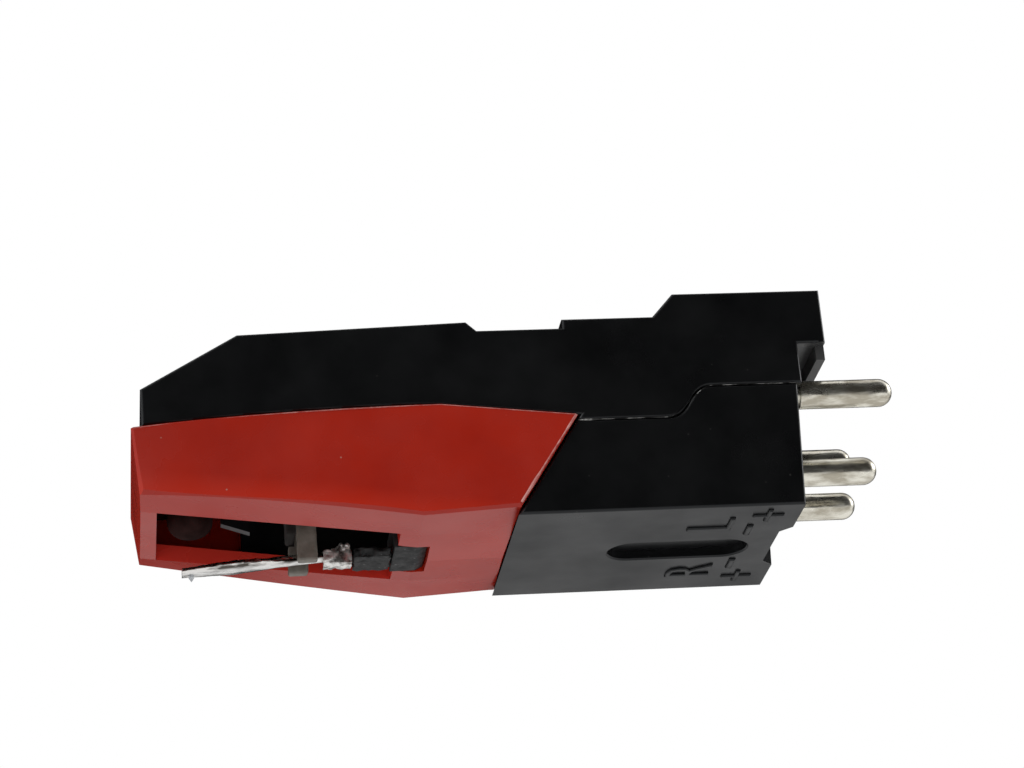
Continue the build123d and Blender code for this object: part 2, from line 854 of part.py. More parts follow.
# Contact springs, one for each pin
left_plus_contact = contact_spring(outer_contact_route(-1))
left_plus_contact.part.label = "left_plus_contact"
left_minus_contact = contact_spring(inner_contact_route(-1))
left_minus_contact.part.label = "left_minus_contact"
right_minus_contact = contact_spring(inner_contact_route(1))
right_minus_contact.part.label = "right_minus_contact"
right_plus_contact = contact_spring(outer_contact_route(1))
right_plus_contact.part.label = "right_plus_contact"

os.makedirs("parts", exist_ok=True)
export_step(upper_housing.part, "parts/upper_housing.step")
export_step(lower_housing.part, "parts/lower_housing.step")
export_step(stylus_holder.part, "parts/stylus_holder.step")
export_step(pivot_plug.part, "parts/pivot_plug.step")
export_step(pivot_sleeve.part, "parts/pivot_sleeve.step")
export_step(cantilever.part, "parts/cantilever.step")
export_step(crimp_collar.part, "parts/crimp_collar.step")
export_step(stylus_tip.part, "parts/stylus_tip.step")
export_step(left_ceramic_strip.part, "parts/left_ceramic_strip.step")
export_step(right_ceramic_strip.part, "parts/right_ceramic_strip.step")
export_step(coupling_yoke.part, "parts/coupling_yoke.step")
export_step(rear_clamp.part, "parts/rear_clamp.step")
export_step(left_damper_pad.part, "parts/left_damper_pad.step")
export_step(right_damper_pad.part, "parts/right_damper_pad.step")
export_step(left_plus_pin.part, "parts/left_plus_pin.step")
export_step(left_minus_pin.part, "parts/left_minus_pin.step")
export_step(right_minus_pin.part, "parts/right_minus_pin.step")
export_step(right_plus_pin.part, "parts/right_plus_pin.step")
export_step(left_plus_contact.part, "parts/left_plus_contact.step")
export_step(left_minus_contact.part, "parts/left_minus_contact.step")
export_step(right_minus_contact.part, "parts/right_minus_contact.step")
export_step(right_plus_contact.part, "parts/right_plus_contact.step")
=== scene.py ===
# %% [markdown]
# # A snap-in stylus cartridge
#
# The cartridge is a black two-part case with a red stylus holder under its nose and four bright pins at
# its rear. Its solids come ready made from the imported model, so this lesson adds what a solid model
# leaves out: finishes, raised signs, the crumpled metal of the crimp and the roughness of the rubber.
# Everything is in metres, and +Z points up out of the seat on top of the case.

# %% Load the solid model
import json
from math import atan2, cos, pi, radians, sin

import bmesh
import bpy
from mathutils import Matrix, Quaternion, Vector, noise


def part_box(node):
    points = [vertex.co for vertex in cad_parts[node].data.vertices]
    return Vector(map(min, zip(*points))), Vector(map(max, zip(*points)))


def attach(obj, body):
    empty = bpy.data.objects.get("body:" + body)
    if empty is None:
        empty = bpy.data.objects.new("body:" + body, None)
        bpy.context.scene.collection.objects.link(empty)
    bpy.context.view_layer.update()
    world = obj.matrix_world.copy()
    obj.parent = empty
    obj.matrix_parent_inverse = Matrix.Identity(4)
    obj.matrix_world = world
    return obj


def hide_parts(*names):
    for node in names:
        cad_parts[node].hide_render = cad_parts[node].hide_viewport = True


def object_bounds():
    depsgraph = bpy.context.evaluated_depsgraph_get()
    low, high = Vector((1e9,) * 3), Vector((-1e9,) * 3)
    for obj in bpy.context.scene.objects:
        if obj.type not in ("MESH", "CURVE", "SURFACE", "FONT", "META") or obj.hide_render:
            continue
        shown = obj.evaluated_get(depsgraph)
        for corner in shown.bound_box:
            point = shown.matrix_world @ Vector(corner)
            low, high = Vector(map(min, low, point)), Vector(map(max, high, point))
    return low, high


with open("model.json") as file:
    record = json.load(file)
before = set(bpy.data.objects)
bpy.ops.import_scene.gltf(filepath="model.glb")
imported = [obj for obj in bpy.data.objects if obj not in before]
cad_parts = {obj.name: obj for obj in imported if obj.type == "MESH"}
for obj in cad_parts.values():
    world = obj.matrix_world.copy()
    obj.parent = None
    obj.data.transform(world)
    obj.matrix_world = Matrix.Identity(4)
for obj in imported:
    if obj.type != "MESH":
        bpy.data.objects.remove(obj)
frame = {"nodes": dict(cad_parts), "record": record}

MM = 0.001
cad_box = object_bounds()
nodes = frame["nodes"]
print("nodes", len(nodes), "box in mm", [round(v / MM, 2) for v in cad_box[1] - cad_box[0]])

# %% [markdown]
# The photograph looks up at the cartridge from below its near side, with the nose on the left. The camera
# could be placed by eye, but a long lens hides small errors of distance, so its place, lens and turn were
# fitted to the corners of the case. A track quaternion aims it and a short roll levels it as in the photo.

# %% Camera
IMAGE_WIDTH_PX = 1024
FOCAL_LENGTH_PX = 3023
SENSOR_WIDTH_MM = 36
CAMERA_PLACE = Vector((-32.5, -140.14, -61.08)) * MM
CAMERA_LOOK = Vector((0.1387, 0.9127, 0.3843))
CAMERA_ROLL = radians(-5.12)
camera_data = bpy.data.cameras.new("camera")
camera_data.sensor_width = SENSOR_WIDTH_MM
camera_data.lens = FOCAL_LENGTH_PX / IMAGE_WIDTH_PX * SENSOR_WIDTH_MM
camera_data.clip_start = 1 * MM
camera_data.dof.use_dof = False
camera = bpy.data.objects.new("camera", camera_data)
camera.rotation_mode = "QUATERNION"
camera.rotation_quaternion = CAMERA_LOOK.to_track_quat("-Z", "Y") @ Quaternion((0, 0, 1), CAMERA_ROLL)
camera.location = CAMERA_PLACE
bpy.context.scene.collection.objects.link(camera)
bpy.context.scene.camera = camera
bpy.context.scene.view_settings.view_transform = "Standard"
print("lens", round(camera_data.lens, 1), "mm")

# %% [markdown]
# A small glossy thing shows its surroundings as much as its own colour. The floor lies well below the
# camera, because the view is from underneath, and it throws soft light back at the underside. Wide dark
# cards stand off to the front and the rear, as a photographer would stand black flags, so that the black
# plastic mirrors something dark. They are hidden from the camera and from scattered light.


# %% Floor and cards
def stage_plane(name, size, matrix, colour):
    """A plain square of the stage, in one matt colour."""
    mesh = bpy.data.meshes.new(name)
    shape = bmesh.new()
    bmesh.ops.create_grid(shape, x_segments=1, y_segments=1, size=size / 2)
    shape.transform(matrix)
    shape.to_mesh(mesh)
    shape.free()
    plane = bpy.data.objects.new(name, mesh)
    bpy.context.scene.collection.objects.link(plane)
    paint = bpy.data.materials.new(name)
    paint.use_nodes = True
    shader = paint.node_tree.nodes["Principled BSDF"]
    shader.inputs["Base Color"].default_value = colour
    shader.inputs["Roughness"].default_value = 0.9
    shader.inputs["Specular IOR Level"].default_value = 0.0
    mesh.materials.append(paint)
    return plane


FLOOR_SIZE = 8.0
FLOOR_HEIGHT = -0.16
FLOOR_GREY = (0.86, 0.86, 0.86, 1)
CARD_SIZE = 3.0
CARD_HEIGHT = 0.6
CARD_BLACK = (0.01, 0.01, 0.01, 1)
stage_plane("floor", FLOOR_SIZE, Matrix.Translation((0, 0, FLOOR_HEIGHT)), FLOOR_GREY)
for card_name, card_y in (("front_card", -0.38), ("rear_card", 0.7)):
    standing = Matrix.Translation((0, card_y, CARD_HEIGHT)) @ Matrix.Rotation(radians(90), 4, "X")
    card = stage_plane(card_name, CARD_SIZE, standing, CARD_BLACK)
    card.visible_camera = False
    card.visible_diffuse = False
    card.visible_shadow = False
    card.visible_transmission = False
print("floor at", FLOOR_HEIGHT, "m")

# %% [markdown]
# The light is a large soft lamp over the front left and a weaker one from the rear right. Small lamps would
# draw hard shadows across so small a thing, so both are square area lamps, many times its size, and each
# faces the middle of the cartridge.


# %% Lamps
def soft_lamp(name, place, size, watts):
    """A square area lamp that faces the middle of the cartridge."""
    data = bpy.data.lights.new(name, "AREA")
    data.size = size
    data.energy = watts
    lamp = bpy.data.objects.new(name, data)
    lamp.location = place
    lamp.rotation_mode = "QUATERNION"
    middle = (cad_box[0] + cad_box[1]) / 2
    lamp.rotation_quaternion = (middle - Vector(place)).to_track_quat("-Z", "Y")
    lamp.visible_camera = False
    bpy.context.scene.collection.objects.link(lamp)


soft_lamp("key_lamp", place=(-0.65, -0.40, 0.70), size=0.6, watts=5.0)
soft_lamp("rear_lamp", place=(0.75, 0.12, 0.35), size=0.35, watts=1.4)

# %% [markdown]
# An even grey sky fills the shadows. A brighter sky would wash them out, but the photograph has a plain white
# background, so the sky is white only where the camera, a reflection or a clear piece meets it. The light
# path says which ray is asking, and a mix shader chooses between the two skies.

# %% Sky
SKY_WHITE = (1, 1, 1, 1)
SKY_GREY = (0.55, 0.55, 0.55, 1)
sky = bpy.data.worlds.new("sky")
sky.use_nodes = True
bpy.context.scene.world = sky
sky_nodes = sky.node_tree.nodes
sky_links = sky.node_tree.links


def larger(first, second):
    """The larger of two values of the sky."""
    node = sky_nodes.new("ShaderNodeMath")
    node.operation = "MAXIMUM"
    sky_links.new(first, node.inputs[0])
    sky_links.new(second, node.inputs[1])
    return node.outputs[0]


seen = sky_nodes["Background"]
seen.inputs["Color"].default_value = SKY_WHITE
ambient = sky_nodes.new("ShaderNodeBackground")
ambient.inputs["Color"].default_value = SKY_GREY
path = sky_nodes.new("ShaderNodeLightPath")
camera_or_glossy = larger(path.outputs["Is Camera Ray"], path.outputs["Is Glossy Ray"])
any_seen = larger(camera_or_glossy, path.outputs["Is Transmission Ray"])
choose = sky_nodes.new("ShaderNodeMixShader")
sky_links.new(any_seen, choose.inputs[0])
sky_links.new(ambient.outputs[0], choose.inputs[1])
sky_links.new(seen.outputs[0], choose.inputs[2])
sky_links.new(choose.outputs[0], sky_nodes["World Output"].inputs["Surface"])
print("sky nodes", len(sky_nodes))

# %% [markdown]
# Each finish is a Principled shader whose colour, roughness and bump come from a few textures. They all
# read Object coordinates, which are metres here, so a texture scale of 1000 gives grains of about a
# millimetre. A small class keeps the finishes short. It adds noises and specks, masks for a place on the
# model, ramps that turn a texture into colours or values, and the bump.


# %% Helpers for the finishes
class Finish:
    """A material with its Principled shader, and the nodes that the finishes below have in common."""

    def __init__(self, name, stretch=(1, 1, 1)):
        self.material = bpy.data.materials.new(name)
        self.material.use_nodes = True
        self.tree = self.material.node_tree
        self.shader = self.tree.nodes["Principled BSDF"]
        place = self.tree.nodes.new("ShaderNodeTexCoord")
        mapping = self.tree.nodes.new("ShaderNodeMapping")
        mapping.inputs["Scale"].default_value = stretch
        self.tree.links.new(place.outputs["Object"], mapping.inputs["Vector"])
        self.model = place.outputs["Object"]
        self.place = mapping.outputs["Vector"]

    def set(self, **values):
        """Constants on the shader's own sockets, named with underscores for spaces."""
        for name, value in values.items():
            self.shader.inputs[name.replace("_", " ")].default_value = value

    def feed(self, socket, value):
        """Link a texture to one of the shader's sockets."""
        self.tree.links.new(value, self.shader.inputs[socket])

    def noise(self, scale, detail=3.0):
        """Soft blotches or grains, from 0 to 1."""
        node = self.tree.nodes.new("ShaderNodeTexNoise")
        node.inputs["Scale"].default_value = scale
        node.inputs["Detail"].default_value = detail
        node.inputs["Roughness"].default_value = 0.55
        self.tree.links.new(self.place, node.inputs["Vector"])
        return node.outputs["Fac"]

    def specks(self, scale, size):
        """1 inside small scattered specks and 0 elsewhere."""
        node = self.tree.nodes.new("ShaderNodeTexVoronoi")
        node.inputs["Scale"].default_value = scale
        node.inputs["Randomness"].default_value = 1.0
        self.tree.links.new(self.place, node.inputs["Vector"])
        near = self.tree.nodes.new("ShaderNodeMath")
        near.operation = "LESS_THAN"
        near.inputs[1].default_value = size
        self.tree.links.new(node.outputs["Distance"], near.inputs[0])
        return near.outputs[0]

    def inside(self, **spans):
        """1 between two places along each named axis of the model, in metres, and 0 elsewhere."""
        split = self.tree.nodes.new("ShaderNodeSeparateXYZ")
        self.tree.links.new(self.model, split.inputs[0])
        mask = None
        for axis, (low, high) in spans.items():
            near = self.tree.nodes.new("ShaderNodeMath")
            near.operation = "COMPARE"
            near.inputs[1].default_value = (low + high) / 2
            near.inputs[2].default_value = (high - low) / 2
            self.tree.links.new(split.outputs[axis], near.inputs[0])
            mask = near.outputs[0] if mask is None else self.both(mask, near.outputs[0])
        return mask

    def both(self, first, second):
        """The product of two masks."""
        node = self.tree.nodes.new("ShaderNodeMath")
        node.operation = "MULTIPLY"
        self.tree.links.new(first, node.inputs[0])
        self.tree.links.new(second, node.inputs[1])
        return node.outputs[0]

    def above(self, direction, level, blend):
        """0 below a level along a direction of the model, rising to 1 over the blend, in metres."""
        dot = self.tree.nodes.new("ShaderNodeVectorMath")
        dot.operation = "DOT_PRODUCT"
        dot.inputs[1].default_value = direction
        self.tree.links.new(self.model, dot.inputs[0])
        return self.ramp(dot.outputs["Value"], 0.0, 1.0, level, level + blend)

    def upright(self):
        """1 on walls and 0 on faces that look down."""
        geometry = self.tree.nodes.new("ShaderNodeNewGeometry")
        split = self.tree.nodes.new("ShaderNodeSeparateXYZ")
        self.tree.links.new(geometry.outputs["True Normal"], split.inputs[0])
        return self.ramp(split.outputs["Z"], 0.0, 1.0, -0.7, -0.6)

    def ramp(self, value, low, high, start=0.3, end=0.7):
        """A colour or value that runs from low to high as the texture goes from start to end."""
        node = self.tree.nodes.new("ShaderNodeMapRange")
        node.data_type = "FLOAT_VECTOR" if isinstance(low, tuple) else "FLOAT"
        if node.data_type == "FLOAT":
            node.inputs["From Min"].default_value = start
            node.inputs["From Max"].default_value = end
            node.inputs["To Min"].default_value = low
            node.inputs["To Max"].default_value = high
            self.tree.links.new(value, node.inputs["Value"])
            return node.outputs["Result"]
        # The sockets for vectors share their names with those for values, so they go by number.
        node.inputs[7].default_value = (start,) * 3
        node.inputs[8].default_value = (end,) * 3
        node.inputs[9].default_value = low
        node.inputs[10].default_value = high
        self.tree.links.new(value, node.inputs["Vector"])
        return node.outputs["Vector"]

    def mix(self, factor, first, second):
        """Two colours or values joined by a factor, each a socket or plain numbers."""
        node = self.tree.nodes.new("ShaderNodeMix")
        node.data_type = "RGBA"
        self.tree.links.new(factor, node.inputs[0])
        # Inputs 6 and 7 and output 2 are the colour ones among sockets of the same name.
        for socket, colour in ((node.inputs[6], first), (node.inputs[7], second)):
            if isinstance(colour, tuple):
                socket.default_value = (*colour, 1)
            else:
                self.tree.links.new(colour, socket)
        return node.outputs[2]

    def bump(self, height, strength, distance):
        """Fine relief of the given depth in metres."""
        node = self.tree.nodes.new("ShaderNodeBump")
        node.inputs["Strength"].default_value = strength
        node.inputs["Distance"].default_value = distance
        self.tree.links.new(height, node.inputs["Height"])
        self.tree.links.new(node.outputs["Normal"], self.shader.inputs["Normal"])


print("finish helpers ready")

# %% [markdown]
# The case is black plastic with a low gloss. Moulded plastic is never one even black: its polish varies in
# blotches a few millimetres wide, its skin has a fine orange peel, and pale dust settles on it. Two noises
# and a scatter of specks give these, and they stay faint, because the photograph is nearly black here. Two
# places differ: the recess behind the seat is painted greyer than the rest, a painted reflection of the light
# from below that its downward face would catch, and the notch in the rear edge of the underside is dull, as
# plastic is where a gate has been broken off.

# %% Black plastic
RECESS_X = (2.36 * MM, 3.7 * MM)
RECESS_Z = (-3.65 * MM, -2.845 * MM)
NOTCH_X = (1.15 * MM, 1.80 * MM)
NOTCH_Y = (-2.80 * MM, 2.80 * MM)
NOTCH_Z = (-11.34 * MM, -10.10 * MM)
DUST = (0.024, 0.024, 0.023)
# The recess grey is a painted reflection of the light from below.
RECESS_PAINTED_REFLECTION_GREY = (0.055, 0.055, 0.055)
DULL = (0.95, 0.95, 0.95)
black = Finish("moulded_black")
black_tone = black.ramp(black.noise(scale=420), (0.0030, 0.0031, 0.0034), (0.0062, 0.0064, 0.0068))
dusty_tone = black.mix(black.specks(scale=900, size=0.040), black_tone, DUST)
in_recess = black.inside(X=RECESS_X, Z=RECESS_Z)
black.feed("Base Color", black.mix(in_recess, dusty_tone, RECESS_PAINTED_REFLECTION_GREY))
in_notch = black.inside(X=NOTCH_X, Y=NOTCH_Y, Z=NOTCH_Z)
black_polish = black.ramp(black.noise(scale=260), 0.26, 0.42)
black.feed("Roughness", black.mix(in_notch, black_polish, DULL))
black.set(Specular_IOR_Level=0.35, Specular_Tint=(0.93, 0.965, 1.0, 1.0))
black.bump(black.noise(scale=7000, detail=2.0), strength=0.10, distance=0.02 * MM)
print("finish", black.material.name)

# %% [markdown]
# The holder is opaque red plastic with the same moulded skin. Its colour drifts a little between a fuller and
# a browner red, and handling has polished it unevenly, so the roughness has blotches of its own. Its sides
# have painted light: a brighter red along their lower edge, which falls from the nose to the knee of the
# underside, stands in for the light from the floor there, and the walls of the window are painted a fuller
# red for the light that they catch. Masks for these places keep it one finish.

# %% Red plastic
EDGE_SLOPE = (0.148, 0, 1)
EDGE_LEVEL = -13.45 * MM
EDGE_BLEND = 0.9 * MM
WINDOW_X = (-29.5 * MM, -17.7 * MM)
WINDOW_Y = (-3.35 * MM, 3.35 * MM)
# Both reds below are painted light: the lit lower edge of the sides and the lit walls of the window.
EDGE_PAINTED_LIGHT_RED = (0.455, 0.0190, 0.0056)
WINDOW_PAINTED_LIGHT_RED = (0.64, 0.038, 0.024)
PALE_SPECK = (0.42, 0.16, 0.13)
red = Finish("moulded_red")
red_tone = red.ramp(red.noise(scale=240), (0.345, 0.0120, 0.0035), (0.410, 0.0165, 0.0048))
side_tone = red.mix(red.above(EDGE_SLOPE, EDGE_LEVEL, EDGE_BLEND), EDGE_PAINTED_LIGHT_RED, red_tone)
wall_tone = red.mix(red.inside(X=WINDOW_X, Y=WINDOW_Y), side_tone, WINDOW_PAINTED_LIGHT_RED)
edged_tone = red.mix(red.upright(), red_tone, wall_tone)
red.feed("Base Color", red.mix(red.specks(scale=700, size=0.03), edged_tone, PALE_SPECK))
red.feed("Roughness", red.ramp(red.noise(scale=330), 0.20, 0.32))
red.set(Specular_IOR_Level=0.42)
red.bump(red.noise(scale=5200, detail=2.0), strength=0.12, distance=0.02 * MM)
print("finish", red.material.name)

# %% [markdown]
# The pins are tin plated, warm and bright, and the contact springs inside are plain brass strip. Drawn metal
# is never a perfect mirror: its skin is wavy along its length. A noise that is stretched along x gives that
# waviness to the colour, the polish and the bump together.

# %% Pins and contact springs
PIN_STRETCH = (0.35, 1, 1)
STRIP_STRETCH = (0.3, 1, 1)
tin = Finish("tin_plate", PIN_STRETCH)
tin_tone = tin.ramp(tin.noise(scale=2200), (0.52, 0.48, 0.39), (0.97, 0.94, 0.83), 0.38, 0.60)
tin.feed("Base Color", tin_tone)
tin.feed("Roughness", tin.ramp(tin.noise(scale=1500), 0.20, 0.38))
tin.set(Metallic=0.95)
tin.bump(tin.noise(scale=1600, detail=2.0), strength=0.55, distance=0.10 * MM)
brass = Finish("brass_strip", STRIP_STRETCH)
brass.feed("Base Color", brass.ramp(brass.noise(scale=1800), (0.52, 0.38, 0.17), (0.74, 0.58, 0.30)))
brass.feed("Roughness", brass.ramp(brass.noise(scale=2500), 0.22, 0.40))
brass.set(Metallic=1.0)
print("finishes", tin.material.name, brass.material.name)

# %% [markdown]
# The lever is thin drawn metal with dark and bright patches, so its texture is stretched along x too, and its
# upper half carries painted reflection: darker blotches that stand in for the dark parts around it mirrored
# in the metal. A mask above a slanting plane parts the two halves, because the lever itself slants. The crimp
# at its root is the same metal bruised all over, so its noise isn't stretched.

# %% Lever and crimp
LEVER_STRETCH = (0.3, 1, 1)
LEVER_SLOPE = (-0.0815, -0.35, 1)
LEVER_LEVEL = -9.36 * MM
LEVER_BLEND = 0.12 * MM
lever_metal = Finish("drawn_lever_metal", LEVER_STRETCH)
patches = lever_metal.noise(scale=2600)
lever_tone = lever_metal.ramp(patches, (0.32, 0.31, 0.30), (0.92, 0.91, 0.89), 0.36, 0.56)
# Dark blotches on the upper half are painted reflection.
top_reflection_noise = lever_metal.noise(scale=2300)
top_painted_reflection = lever_metal.ramp(top_reflection_noise, (0.10, 0.09, 0.078), (0.92, 0.90, 0.87), 0.44, 0.56)
on_top = lever_metal.above(LEVER_SLOPE, LEVER_LEVEL, LEVER_BLEND)
lever_metal.feed("Base Color", lever_metal.mix(on_top, lever_tone, top_painted_reflection))
lever_metal.feed("Roughness", lever_metal.ramp(lever_metal.noise(scale=1900), 0.18, 0.42))
lever_metal.set(Metallic=1.0)
lever_metal.bump(lever_metal.noise(scale=5000), strength=0.6, distance=0.06 * MM)
crimp_metal = Finish("crimped_metal")
bruises = crimp_metal.noise(scale=2400)
crimp_metal.feed("Base Color", crimp_metal.ramp(bruises, (0.16, 0.15, 0.14), (0.93, 0.92, 0.89), 0.36, 0.56))
crimp_metal.feed("Roughness", crimp_metal.ramp(crimp_metal.noise(scale=3000), 0.30, 0.55))
crimp_metal.set(Metallic=0.85)
crimp_metal.bump(crimp_metal.noise(scale=6000), strength=0.5, distance=0.04 * MM)
print("finishes", lever_metal.material.name, crimp_metal.material.name)

# %% [markdown]
# The rubber of the sleeve and the plug is matt and mottled, with pale grains of chalk. One noise gives the
# mottling, specks give the grains, and a coarse bump takes the smoothness off the moulded faces.

# %% Rubber
CHALK = (0.11, 0.11, 0.11)
rubber = Finish("mottled_rubber")
rubber_tone = rubber.ramp(rubber.noise(scale=3000), (0.006, 0.006, 0.0065), (0.026, 0.0265, 0.027))
rubber.feed("Base Color", rubber.mix(rubber.specks(scale=2600, size=0.13), rubber_tone, CHALK))
rubber.feed("Roughness", rubber.ramp(rubber.noise(scale=2000), 0.45, 0.75))
rubber.set(Specular_IOR_Level=0.30)
rubber.bump(rubber.noise(scale=3600), strength=0.8, distance=0.08 * MM)
print("finish", rubber.material.name)

# %% [markdown]
# The forked yoke is grey plastic that lets a little light through, and the web between its prongs looks
# nearly black, because it lies in the shade of the case. The web could be a piece of its own, but it is
# moulded in one with the prongs, so a mask over its place darkens it.

# %% Yoke plastic
WEB_DEPTH = 0.46 * MM
WEB_FOOT = 1.4 * MM
WEB_MARGIN = 1 * MM
WEB_BLACK = (0.018, 0.014, 0.012)
yoke_low, yoke_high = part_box("coupling_yoke")
yoke_plastic = Finish("grey_yoke_plastic")
cloud = yoke_plastic.noise(scale=1500)
yoke_tone = yoke_plastic.ramp(cloud, (0.115, 0.100, 0.082), (0.235, 0.215, 0.185))
in_web = yoke_plastic.inside(
    X=(yoke_low.x - WEB_MARGIN, yoke_low.x + WEB_DEPTH),
    Z=(yoke_low.z + WEB_FOOT, yoke_high.z),
)
yoke_plastic.feed("Base Color", yoke_plastic.mix(in_web, yoke_tone, WEB_BLACK))
yoke_polish = yoke_plastic.ramp(yoke_plastic.noise(scale=2400), 0.30, 0.50)
yoke_plastic.feed("Roughness", yoke_plastic.mix(in_web, yoke_polish, DULL))
yoke_plastic.set(Transmission_Weight=0.10, IOR=1.5)
print("finish", yoke_plastic.material.name)

# %% [markdown]
# The strips inside are fired ceramic, pale and chalky, and the stylus is a clear hard stone. Both are hidden
# or tiny, so a single noise is enough for each. The stone's index of refraction is that of sapphire.

# %% Ceramic and stone
ceramic = Finish("fired_ceramic")
ceramic.feed("Base Color", ceramic.ramp(ceramic.noise(scale=2600), (0.50, 0.46, 0.39), (0.68, 0.64, 0.56)))
ceramic.feed("Roughness", ceramic.ramp(ceramic.noise(scale=3000), 0.5, 0.75))
stone = Finish("stylus_stone")
stone.feed("Base Color", stone.ramp(stone.noise(scale=6000), (0.62, 0.66, 0.70), (0.85, 0.87, 0.90)))
stone.set(Roughness=0.08, Transmission_Weight=0.7, IOR=1.76)
print("finishes", ceramic.material.name, stone.material.name)

# %% [markdown]
# Every solid keeps its own mesh and takes the finish of its material slot, so one table from slot to finish
# covers all of them.

# %% Finish each solid
slot_finish = {
    "case_black": black,
    "holder_red": red,
    "rubber": rubber,
    "lever_metal": lever_metal,
    "stylus_stone": stone,
    "ceramic": ceramic,
    "yoke_plastic": yoke_plastic,
    "pin_plate": tin,
    "contact_metal": brass,
}
for entry in frame["record"]["subparts"]:
    node_mesh = nodes[entry["node"]].data
    node_mesh.materials.clear()
    node_mesh.materials.append(slot_finish[entry["material_slot"]].material)

# %% [markdown]
# From here on the lesson models pieces of its own. Each ends in the same way: its faces are turned outwards,
# its mesh is linked as an object, and the object rides on a body of the solid model, with a slot and a
# finish. One function does this for all of them.


# %% Add a piece
def add_piece(name, shape, body, finish, smooth, sharp_from=None):
    """Link a finished shape as a piece that rides on a body, its finish and its shading."""
    mesh = bpy.data.meshes.new(name)
    shape.normal_update()
    bmesh.ops.recalc_face_normals(shape, faces=shape.faces)
    shape.to_mesh(mesh)
    shape.free()
    if smooth:
        mesh.shade_smooth()
    else:
        mesh.shade_flat()
    if sharp_from is not None:
        mesh.set_sharp_from_angle(angle=sharp_from)
    mesh.materials.append(finish.material)
    piece = bpy.data.objects.new(name, mesh)
    bpy.context.scene.collection.objects.link(piece)
    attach(piece, body)
    print(name, len(mesh.polygons), "faces")
    return piece


print("piece helper ready")

# %% [markdown]
# The underside of the rear block has small raised signs beside its groove: L and R for the two channels,
# each with a plus and a minus for its pins. Text objects give clean strokes. Each is made a mesh, its flat
# faces are joined where the sign has no eye, as the R has, and it is fitted to the box that the sign fills.
# It is then laid on the underside so that it reads from below, with its top towards the nose, and its rim
# is rounded. Few points on the curves of the R leave room for that rounding.

# %% Raised signs
SIGN_HEIGHT = 0.12 * MM
SIGN_BEVEL = 0.10 * MM
SIGN_SMOOTH = radians(40)
SIGN_MERGE = 1e-4
TEXT_DEPTH = 0.5
RIM_ANGLE = 0.5
block_low, block_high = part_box("lower_housing")


def text_shape(name, text):
    """The strokes of a text as one closed shape, with its flat faces joined where it has no eye."""
    curve = bpy.data.curves.new(name, "FONT")
    curve.body = text
    curve.extrude = TEXT_DEPTH
    curve.resolution_u = 2
    outline = bpy.data.objects.new(name, curve)
    mesh = bpy.data.meshes.new_from_object(outline)
    bpy.data.objects.remove(outline)
    shape = bmesh.new()
    shape.from_mesh(mesh)
    bpy.data.meshes.remove(mesh)
    bmesh.ops.remove_doubles(shape, verts=shape.verts, dist=SIGN_MERGE)
    if text != "R":
        flat = [f for f in shape.faces if len({round(v.co.z, 3) for v in f.verts}) == 1]
        bmesh.ops.dissolve_faces(shape, faces=flat)
    return shape


def raised_sign(name, text, front, rear, left, right):
    """One sign, from front to rear in mm behind the block's front edge, and between two places across."""
    shape = text_shape(name, text)
    xs = [v.co.x for v in shape.verts]
    ys = [v.co.y for v in shape.verts]
    wide = (left - right) * MM / (max(xs) - min(xs))
    tall = (rear - front) * MM / (max(ys) - min(ys))
    for v in shape.verts:
        across = left * MM - (v.co.x - min(xs)) * wide
        along = block_low.x + rear * MM - (v.co.y - min(ys)) * tall
        v.co = Vector((along, across, block_low.z - v.co.z / TEXT_DEPTH * SIGN_HEIGHT))
    bmesh.ops.recalc_face_normals(shape, faces=shape.faces)
    proud = [e for e in shape.edges if all(v.co.z < block_low.z for v in e.verts)]
    rim = [e for e in proud if e.calc_face_angle(0) > RIM_ANGLE]
    bmesh.ops.bevel(
        shape, geom=rim, offset=SIGN_BEVEL, offset_type="OFFSET", segments=5, profile=0.5,
        affect="EDGES", clamp_overlap=True, material=-1,
    )
    add_piece(name, shape, "case", black, smooth=True, sharp_from=SIGN_SMOOTH)


raised_sign("left_letter", "L", front=8.63, rear=10.87, left=-2.88, right=-4.40)
raised_sign("left_minus", "-", front=11.62, rear=11.96, left=-2.07, right=-3.30)
raised_sign("left_plus", "+", front=11.65, rear=13.22, left=-3.88, right=-5.38)
raised_sign("right_letter", "R", front=8.63, rear=10.90, left=3.82, right=2.20)
raised_sign("right_minus", "-", front=11.62, rear=11.96, left=2.82, right=1.55)
raised_sign("right_plus", "+", front=11.65, rear=13.22, left=4.88, right=3.40)
print("signs stand", SIGN_HEIGHT / MM, "mm proud")

# %% [markdown]
# The solids have sharp edges where real mouldings have soft ones. The yoke stands in the middle of the
# picture, so it gets a softened copy: the solid's own mesh with its loose triangles merged, its flat faces
# joined and every sharp edge bevelled. A Bevel modifier could do this too, but on a mesh the edges can be
# chosen by their angle. The far prong leans a little towards the nose, as it does in the photograph.

# %% Softened yoke
MERGE = 0.0001 * MM
FLAT_ANGLE = radians(1)
SHARP_ANGLE = radians(30)
YOKE_SOFTNESS = 0.12 * MM
PRONG_LEAN = 0.062
prong_root = Vector((yoke_low.x + 0.43 * MM, 0.5 * MM, yoke_low.z + 6.0 * MM))


def merged_copy(node):
    """A copy of a solid's mesh with its loose triangles merged."""
    shape = bmesh.new()
    shape.from_mesh(nodes[node].data)
    bmesh.ops.remove_doubles(shape, verts=shape.verts, dist=MERGE)
    return shape


def join_flat(shape):
    """Join the triangles of each flat face."""
    bmesh.ops.dissolve_limit(shape, angle_limit=FLAT_ANGLE, verts=shape.verts, edges=shape.edges)


def soften(shape, width):
    """Bevel every sharp edge."""
    sharp = [e for e in shape.edges if e.calc_face_angle(0) > SHARP_ANGLE]
    bmesh.ops.bevel(
        shape, geom=sharp, offset=width, offset_type="OFFSET", segments=2, profile=0.5,
        affect="EDGES", clamp_overlap=True, material=-1,
    )


